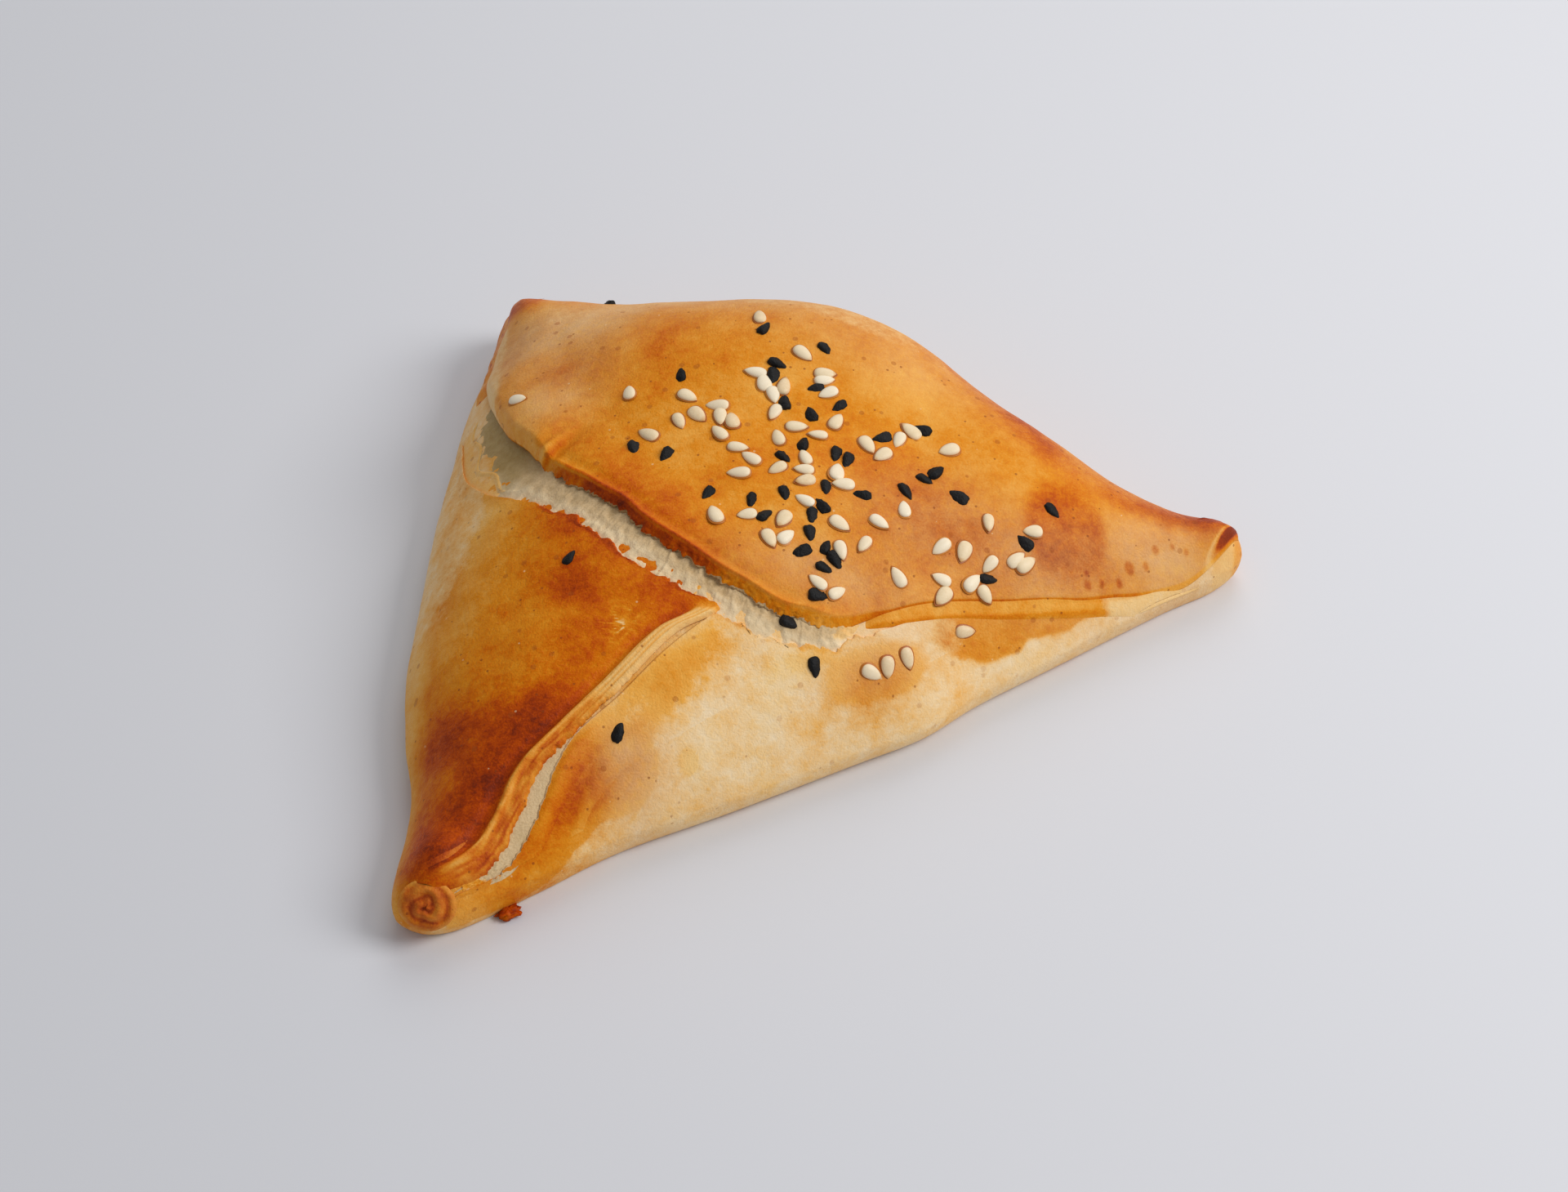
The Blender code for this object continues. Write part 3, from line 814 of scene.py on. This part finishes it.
def build_tip_curl():
    """The dough's rolled end, a small spiral on the near left corner."""
    rings, segments = 40, 96
    radius = np.linspace(0.02, 1, rings)[None, :] * CURL_SIZE
    angle = np.linspace(0, math.tau, segments, endpoint=False)[:, None]
    turns = radius / CURL_PITCH - angle / math.tau
    turns = turns + 0.1 * np.sin(3 * angle + 1) + 0.05 * np.sin(5 * angle - radius)
    roll = 0.17 * np.cos(math.tau * turns) * smoothstep(CURL_SIZE, 2.6, radius)
    height = 1.5 * np.sqrt(1 - (radius / 4.3) ** 2) - 1.1 + roll
    flat = np.stack([np.cos(angle) * radius, np.sin(angle) * radius * 0.92, height], axis=-1)
    flat[..., 2] += 0.24 * lumps(flat, 1.5, 25)
    lean = Euler([math.radians(degrees) for degrees in CURL_LEAN] + [0]).to_matrix()
    points = flat @ np.array(lean).T + np.array(CURL_MIDDLE)
    points[..., 2] = np.maximum(points[..., 2], 0.3)
    thing = grid_object("tip_curl", points, around=True)
    groove = 0.5 - 0.5 * np.cos(math.tau * turns)
    bake = 0.58 + 0.1 * lumps(flat, 1.8, 44) + 0.22 * groove ** 4 * smoothstep(4, 2.4, radius)
    bake += 0.1 * smoothstep(1.8, 0.4, radius) - 0.16 * smoothstep(3.2, 4, radius)
    return crust_fields(thing, bake, 4, 0.45)


FLAKE_MIDDLE = (-46.4, -57, 0.6)
FLAKE_SIZE = (3.4, 2.3, 1.5)
FLAKE_TURN = 25


def build_base_flake():
    """The burnt flake at the foot of the front: a lumpy flattened ball."""
    angle = np.linspace(0, math.tau, 40, endpoint=False)[:, None]
    polar = np.linspace(0.02, math.pi - 0.02, 24)[None, :]
    ball = np.stack([np.cos(angle) * np.sin(polar), np.sin(angle) * np.sin(polar),
                     np.cos(polar) + 0 * angle], axis=-1)
    ball = ball * (1 + 0.45 * lumps(ball, 0.5, 40) + 0.25 * lumps(ball, 0.22, 41))[..., None]
    spin = np.array(Euler((0, 0, math.radians(FLAKE_TURN))).to_matrix())
    points = (ball * np.array(FLAKE_SIZE) / 2) @ spin.T + np.array(FLAKE_MIDDLE)
    points[..., 2] = np.maximum(points[..., 2], 0)
    thing = grid_object("base_flake", points, around=True)
    return crust_fields(thing, 0.82 + 0.25 * lumps(points, 0.8, 42), 4)


# Materials.

def feed(tree, node, inputs):
    """Links or sets a node's inputs, by name or by number."""
    for name, value in inputs.items():
        if isinstance(value, bpy.types.NodeSocket):
            tree.links.new(value, node.inputs[name])
        else:
            node.inputs[name].default_value = value


def add_node(tree, kind, inputs, **settings):
    made = tree.nodes.new(kind)
    for name, value in settings.items():
        setattr(made, name, value)
    feed(tree, made, inputs)
    return made


def sums(tree, operation, first, second=0, third=0, clamp=False):
    made = add_node(tree, "ShaderNodeMath", {0: first, 1: second, 2: third},
                    operation=operation, use_clamp=clamp)
    return made.outputs[0]


def blend_colour(tree, factor, first, second):
    inputs = {0: factor, 6: first, 7: second}
    return add_node(tree, "ShaderNodeMix", inputs, data_type="RGBA").outputs[2]


def field(tree, name):
    return add_node(tree, "ShaderNodeAttribute", {}, attribute_name=name).outputs["Fac"]


def ramp(tree, factor, stops):
    made = add_node(tree, "ShaderNodeValToRGB", {"Fac": factor})
    band = made.color_ramp
    while len(band.elements) < len(stops):
        band.elements.new(0.5)
    for element, (place, colour) in zip(band.elements, stops):
        element.position = place
        element.color = (*colour, 1)
    return made.outputs["Color"]


def texture_noise(tree, place, per_mm, detail=3):
    """Noise about 0, in lumps of so many to a mm."""
    inputs = {"Vector": place, "Scale": per_mm, "Detail": detail, "Roughness": 0.55}
    return sums(tree, "SUBTRACT", add_node(tree, "ShaderNodeTexNoise", inputs).outputs["Fac"], 0.5)


def bumped(tree, height, depth, strength):
    """The normal of a surface with relief of a depth (mm)."""
    inputs = {"Height": height, "Distance": depth * MM, "Strength": strength}
    return add_node(tree, "ShaderNodeBump", inputs).outputs["Normal"]


def new_material(name):
    material = bpy.data.materials.new(name)
    material.use_nodes = True
    tree = material.node_tree
    shader = tree.nodes["Principled BSDF"]
    inputs = {0: add_node(tree, "ShaderNodeTexCoord", {}).outputs["Object"], "Scale": 1 / MM}
    to_mm = add_node(tree, "ShaderNodeVectorMath", inputs, operation="SCALE")
    return material, tree, shader, to_mm.outputs[0]


# Colours as the bake deepens: its value, and the colour there.
GLAZED = [
    (0, (0.95, 0.62, 0.24)), (0.2, (0.9, 0.43, 0.07)), (0.4, (0.79, 0.27, 0.01)),
    (0.55, (0.69, 0.165, 0.001)), (0.7, (0.55, 0.08, 0.001)), (0.85, (0.37, 0.042, 0.002)),
    (1, (0.19, 0.022, 0.005))]
UNGLAZED = [
    (0, (0.96, 0.75, 0.48)), (0.3, (0.93, 0.6, 0.25)), (0.65, (0.8, 0.38, 0.07)),
    (1, (0.45, 0.15, 0.02))]
BLUSHED = [
    (0.2, (0.81, 0.46, 0.2)), (0.38, (0.73, 0.34, 0.11)), (0.6, (0.58, 0.185, 0.04)),
    (0.85, (0.36, 0.06, 0.018))]
BARE_DOUGH = [
    (0, (0.83, 0.64, 0.39)), (0.3, (0.74, 0.53, 0.29)), (0.7, (0.5, 0.32, 0.14)),
    (1, (0.34, 0.19, 0.07))]
GREASY_DOUGH = ((0.4, 0.24, 0.07, 1), (0.55, 0.39, 0.165, 1))
# Small flecks: cells per mm, the share of cells without one, the fleck's
# reach in its cell, its strength and its colour.
FLECKS = (
    (0.4, 0.72, 0.2, 0.42, (0.36, 0.075, 0.01, 1)),
    (0.95, 0.93, 0.22, 0.6, (0.25, 0.05, 0.01, 1)),
    (0.6, 0.93, 0.12, 0.4, (0.95, 0.72, 0.42, 1)))


def crust_material():
    material, tree, shader, place = new_material("baked crust")

    def weigh(value, weight, rest=0, clamp=False):
        return sums(tree, "MULTIPLY_ADD", value, weight, rest, clamp)

    broad = texture_noise(tree, place, 0.28)
    middle = texture_noise(tree, place, 0.9)
    fine = texture_noise(tree, place, 3.2, 2)

    plain = field(tree, "bake")
    mottle = 0
    for value, weight in ((broad, 0.5), (middle, 0.46), (fine, 0.38)):
        mottle = weigh(value, weight, mottle)
    bake = weigh(mottle, weigh(plain, 0.8, 0.22), plain)
    wash = field(tree, "wash")
    for value, weight in ((broad, 1.6), (middle, 0.8), (fine, 0.4)):
        wash = weigh(value, weight, wash)
    wash = weigh(wash, 0.9, 0.5, clamp=True)
    colour = blend_colour(tree, wash, ramp(tree, bake, UNGLAZED), ramp(tree, bake, GLAZED))

    blotch = weigh(middle, 1.4, 0.75, clamp=True)
    blush = weigh(field(tree, "blush"), blotch, clamp=True)
    colour = blend_colour(tree, blush, colour, ramp(tree, bake, BLUSHED))
    for per_mm, share, reach, strength, tint in FLECKS:
        cells = add_node(tree, "ShaderNodeTexVoronoi", {"Vector": place, "Scale": per_mm})
        inside = weigh(cells.outputs["Distance"], -5 / reach, 5, clamp=True)
        parts = add_node(tree, "ShaderNodeSeparateColor", {0: cells.outputs["Color"]})
        chosen = sums(tree, "GREATER_THAN", parts.outputs[0], share)
        amount = weigh(weigh(inside, chosen), strength)
        amount = weigh(amount, weigh(wash, 0.95, 0.05))
        colour = blend_colour(tree, amount, colour, tint)

    raw = weigh(middle, 0.8, field(tree, "raw"))
    raw = weigh(raw, 5, -2, clamp=True)
    dough = ramp(tree, weigh(fine, 0.5, plain), BARE_DOUGH)
    # Greasy dough, partly painted shade where the torn dough's field was strengthened under the top
    # flap.
    grease_and_shade = weigh(broad, 1, field(tree, "grease_and_shade"), clamp=True)
    greased = blend_colour(tree, weigh(middle, 1.6, 0.5, clamp=True), *GREASY_DOUGH)
    dough = blend_colour(tree, grease_and_shade, dough, greased)
    colour = blend_colour(tree, raw, colour, dough)

    shine = weigh(wash, -0.16, 0.58)
    shine = weigh(middle, 0.25, shine)
    shine = weigh(raw, 0.22, shine, clamp=True)
    shine = weigh(weigh(grease_and_shade, raw), -0.34, shine, clamp=True)
    feed(tree, shader, {"Base Color": colour, "Roughness": shine, "Specular IOR Level": 0.07,
                        "Normal": bumped(tree, weigh(fine, 0.85, middle), 0.14, 0.8)})
    return material


def seed_material(name, stops, roughness, bump_depth, gloss=0.3):
    material, tree, shader, place = new_material(name)
    grain = texture_noise(tree, place, 3)
    value = sums(tree, "MULTIPLY_ADD", grain, 0.35, field(tree, "tone"), clamp=True)
    feed(tree, shader, {"Base Color": ramp(tree, value, stops), "Roughness": roughness,
                        "Specular IOR Level": gloss, "Normal": bumped(tree, grain, bump_depth, 0.7)})
    return material


# Seeds.

# Length, width and thickness (mm).
SESAME_SIZE = (3.35, 1.95, 0.95)
NIGELLA_SIZE = (3, 1.8, 1.3)
HULLED = [(0, (0.94, 0.81, 0.6)), (0.5, (0.88, 0.69, 0.43)), (1, (0.7, 0.38, 0.14))]
SET_GLAZE = [(0, (0.62, 0.22, 0.02)), (1, (0.42, 0.11, 0.01))]
BLACK = [(0, (0.004, 0.004, 0.004)), (1, (0.018, 0.016, 0.015))]
# The glaze is set round each pale seed, so both are laid by the same draws.
SESAME_DRAWS, NIGELLA_DRAWS = 3, 7
GLAZE_SWELL = (1.15, 1.24, 0.3)
# Where each seed lies: x, y (mm) and the way its pointed end faces (degrees).
SESAME_SEEDS = [
    (-48.5, 24, -20), (-31.3, 20.9, 95), (-28.2, 11.8, 145), (-22.4, 18.9, -35), (-23.6, 14, -70),
    (-20.9, 15.1, -50), (-18, 16.8, 175), (-17.5, 14.5, -88), (-15.7, 13.8, 100), (-17.6, 11.4, 125),
    (-12.3, 23.2, 170), (-11, 21.3, 100), (-9.6, 18.9, -80), (-8, 20.7, 80), (-9.4, 15.6, -115),
    (-11.7, 35.5, 95), (-5.1, 27.2, -45), (-1.8, 23.6, 0), (-1.9, 22.3, 10), (-1.4, 19.9, 210),
    (-0.2, 14.6, 65), (-3, 11.6, 180), (-6.1, 13, 0), (-8.9, 10.7, 105), (-14.8, 8.5, -10),
    (-12.9, 6.4, 140), (-14.7, 3.4, 180), (-9, 4.5, 215), (-4.9, 7, 110), (-5.1, 4.5, 180),
    (-4.9, 2.4, 200), (-0.2, 4.8, 82), (0.7, 2.5, 185), (-5, -1.3, 150), (-18, -4.7, 110),
    (-13.4, -4.5, 195), (-8.1, -4.9, -120), (-10.1, -8.5, -65), (-7.7, -7.9, 45), (0.1, -4.7, -35),
    (5.9, -3.6, -35), (3.6, -7.5, 240), (0.2, -9, -75), (-3.2, -14.6, 145), (-0.4, -15.5, 35),
    (4.4, 10.7, -60), (6.6, 9.1, 220), (9.1, 12.5, 250), (11, 14.7, 145), (16.6, 11.9, 205),
    (9.6, -0.6, 95), (22.1, -0.5, -90), (28.7, -0.3, 190), (14.9, -5.6, 225), (18.3, -5.6, 255),
    (22.1, -6.5, 235), (26.1, -4.9, 45), (27.6, -5.1, 40), (19.5, -9.4, 50), (21.4, -10.4, -50),
    (14.9, -10, 165), (15.1, -12.2, 235), (8.5, -11.3, 125), (18.4, -15.2, 12), (4.6, -23.8, -20),
    (6.9, -22.7, -80), (9.8, -21, -65)]
NIGELLA_SEEDS = [
    (-36, 51.8, 120), (-23.5, 23.4, 92), (-30.3, 9.3, -78), (-25.5, 7.3, 245), (-39, -10, 60),
    (-31.2, -37.3, 75), (-3.7, -25, -75), (-7.2, -20, -20), (-11, 32.5, 60), (-1.8, 28.5, -50),
    (-9, 25, -30), (-9.7, 22.7, -95), (-7.9, 17.6, 95), (-3.2, 20.8, 200), (0.3, 17.7, 225),
    (-3.9, 15.7, 110), (-5.1, 9.6, 75), (-8.2, 6.9, -45), (-0.4, 8.2, -100), (1.3, 7.3, -105),
    (-19.1, -0.4, 240), (-12.8, -1.6, -100), (-8, -0.2, -75), (-1.9, 1.5, -90), (3.5, 0.9, 175),
    (-2.5, -1.8, 130), (-10.7, -4.3, 50), (-4, -3.8, -90), (-4.3, -6.9, -75), (-5.5, -9.9, 215),
    (-1.9, -8.7, 75), (-0.7, -10.6, -60), (-2.2, -12.2, -20), (-3.1, -16.6, 0), (6.6, 12.5, 205),
    (12.5, 15.3, 170), (12.8, 5.7, -25), (14.6, 7.3, 45), (17.8, 3.4, 150), (9.9, 2.8, -60),
    (31.9, 3.8, -40), (27.6, -2.1, 150), (21.9, -8.4, 0)]


def seed_form(size, segments, rings, blunt, taper, corners):
    """One seed about its own middle: its points and quads, pointed end at +X."""
    polar = np.linspace(0, math.pi, rings + 1)[:, None]
    angle = (math.tau * np.arange(segments) / segments)[None, :]
    t = np.cos(polar)
    girth = np.sin(polar) ** (blunt + 0.5 * np.maximum(t, 0)) * (1 - taper * t)
    girth = girth * (1 + corners * np.cos(3 * angle + 0.6))
    form = np.stack([t + 0 * angle, np.cos(angle) * girth, np.sin(angle) * girth], axis=-1)
    here = np.arange(rings * segments).reshape(rings, segments)
    beside = np.roll(here, -1, axis=1)
    quads = np.stack([here, here + segments, beside + segments, beside], axis=-1)
    return form.reshape(-1, 3) * np.array(size) / 2, quads.reshape(-1, 4)


def lay_seeds(name, seeds, form, surface, draws, sink, roughen=0, swell=(1, 1, 1),
              tones=(0, 0.6)):
    """One joined piece of every seed of a kind, each lying on the crust."""
    rng = random.Random(draws)
    form_points, form_quads = form
    tip = smoothstep(0.55, 1, form_points[:, 0] / form_points[:, 0].max())
    all_points, all_quads, tone = [], [], []
    for count, (x, y, heading) in enumerate(seeds):
        above = Vector(to_world([(x, y, 60)])[0])
        place, normal, _, _ = surface.ray_cast(above, Vector((0, 0, -1)))
        size = rng.uniform(0.9, 1.08)
        points = form_points * size * np.array([1, rng.uniform(0.92, 1.08), rng.uniform(0.9, 1.1)])
        points = points * (1 + roughen * lumps(points, 0.55, 20 + count))[:, None]
        turn = Vector((0, 0, 1)).rotation_difference(normal).to_matrix()
        tilt = (rng.uniform(-0.12, 0.12), rng.uniform(-0.1, 0.1), math.radians(heading))
        pose = np.array(turn @ Euler(tilt).to_matrix())
        centre = np.array(place) / MM + np.array(normal) * (form_points[:, 2].max() * sink)
        all_quads.append(form_quads + len(form_points) * len(all_points))
        all_points.append(points * np.array(swell) @ pose.T + centre)
        tone.append(rng.uniform(*tones) + 0.5 * tip)
    thing = mesh_object(name, np.concatenate(all_points) * MM, np.concatenate(all_quads))
    set_field(thing, "tone", np.concatenate(tone))
    return thing


def crust_surface(pieces):
    """A ray-casting tree over the pieces that seeds can lie on."""
    points, polygons = [], []
    for piece in pieces:
        before = len(points)
        points += [vertex.co[:] for vertex in piece.data.vertices]
        polygons += [[before + corner for corner in face.vertices] for face in piece.data.polygons]
    return BVHTree.FromPolygons(points, polygons)


def build_seeds(surface):
    """The pale seeds, the set glaze round each of them, and the black seeds."""
    sesame_form = seed_form(SESAME_SIZE, 20, 14, 0.85, 0.3, 0)
    nigella_form = seed_form(NIGELLA_SIZE, 18, 14, 0.7, 0.34, 0.13)
    sesame = lay_seeds("sesame_seeds", SESAME_SEEDS, sesame_form, surface, SESAME_DRAWS, 0.35)
    glaze = lay_seeds("seed_glaze", SESAME_SEEDS, sesame_form, surface, SESAME_DRAWS, 0,
                      swell=GLAZE_SWELL, tones=(0, 1))
    nigella = lay_seeds("nigella_seeds", NIGELLA_SEEDS, nigella_form, surface, NIGELLA_DRAWS, -0.15,
                        roughen=0.16)
    sesame.data.materials.append(seed_material("hulled sesame", HULLED, 0.42, 0.03))
    glaze.data.materials.append(seed_material("set glaze", SET_GLAZE, 0.35, 0.02))
    nigella.data.materials.append(seed_material("black nigella", BLACK, 0.55, 0.25, 0.2))
    return [sesame, glaze, nigella]


# Stage.

CAMERA_TILT = 47
CAMERA_DISTANCE = 467
CAMERA_AIM = (-8, 3.8, 0)
# Each light's name, place (m), size (m) and power (W).
LIGHTS = (
    ("key light", (0.55, -0.05, 0.52), 0.4, 3.6),
    ("back light", (0.1, 0.55, 0.55), 0.5, 1.5))


def build_stage():
    bpy.ops.mesh.primitive_plane_add(size=4)
    floor = bpy.context.object
    floor.name = "floor"
    material, tree, shader, _ = new_material("pale floor")
    feed(tree, shader, {"Base Color": (0.72, 0.72, 0.745, 1), "Roughness": 0.55})
    floor.data.materials.append(material)

    world = bpy.data.worlds.new("studio")
    bpy.context.scene.world = world
    world.use_nodes = True
    sky = world.node_tree.nodes["Background"]
    feed(world.node_tree, sky, {"Color": (0.93, 0.95, 1, 1), "Strength": 0.35})

    for name, place, size, power in LIGHTS:
        lamp = bpy.data.lights.new(name, "AREA")
        lamp.size = size
        lamp.energy = power
        light = linked(name, lamp)
        light.location = place
        light.rotation_euler = (-Vector(place)).to_track_quat("-Z", "Y").to_euler()


def build_camera():
    tilt = math.radians(CAMERA_TILT)
    aim = Vector(to_world([CAMERA_AIM])[0])
    camera = linked("camera", bpy.data.cameras.new("camera"))
    camera.data.lens = 70
    camera.data.sensor_width = 36
    camera.data.clip_start = 0.01
    back = Vector((0, -math.cos(tilt), math.sin(tilt)))
    camera.location = aim + back * CAMERA_DISTANCE * MM
    camera.rotation_euler = (math.pi / 2 - tilt, 0, 0)
    bpy.context.scene.camera = camera


def main():
    bpy.context.scene.view_settings.view_transform = "Standard"
    crust = crust_material()
    sheets = [build_top_flap(), build_left_flap(), build_front_flap(), build_second_ply(),
              build_corner_ply(), build_torn_dough(), build_split_dough(), build_tip_curl(),
              build_base_flake()]
    body = build_body()
    dough = sheets + [body]
    for piece in dough:
        piece.data.materials.append(crust)
    for piece in dough + build_seeds(crust_surface(dough)):
        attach(piece, "root")
    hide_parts("samosa")
    build_stage()
    build_camera()


main()
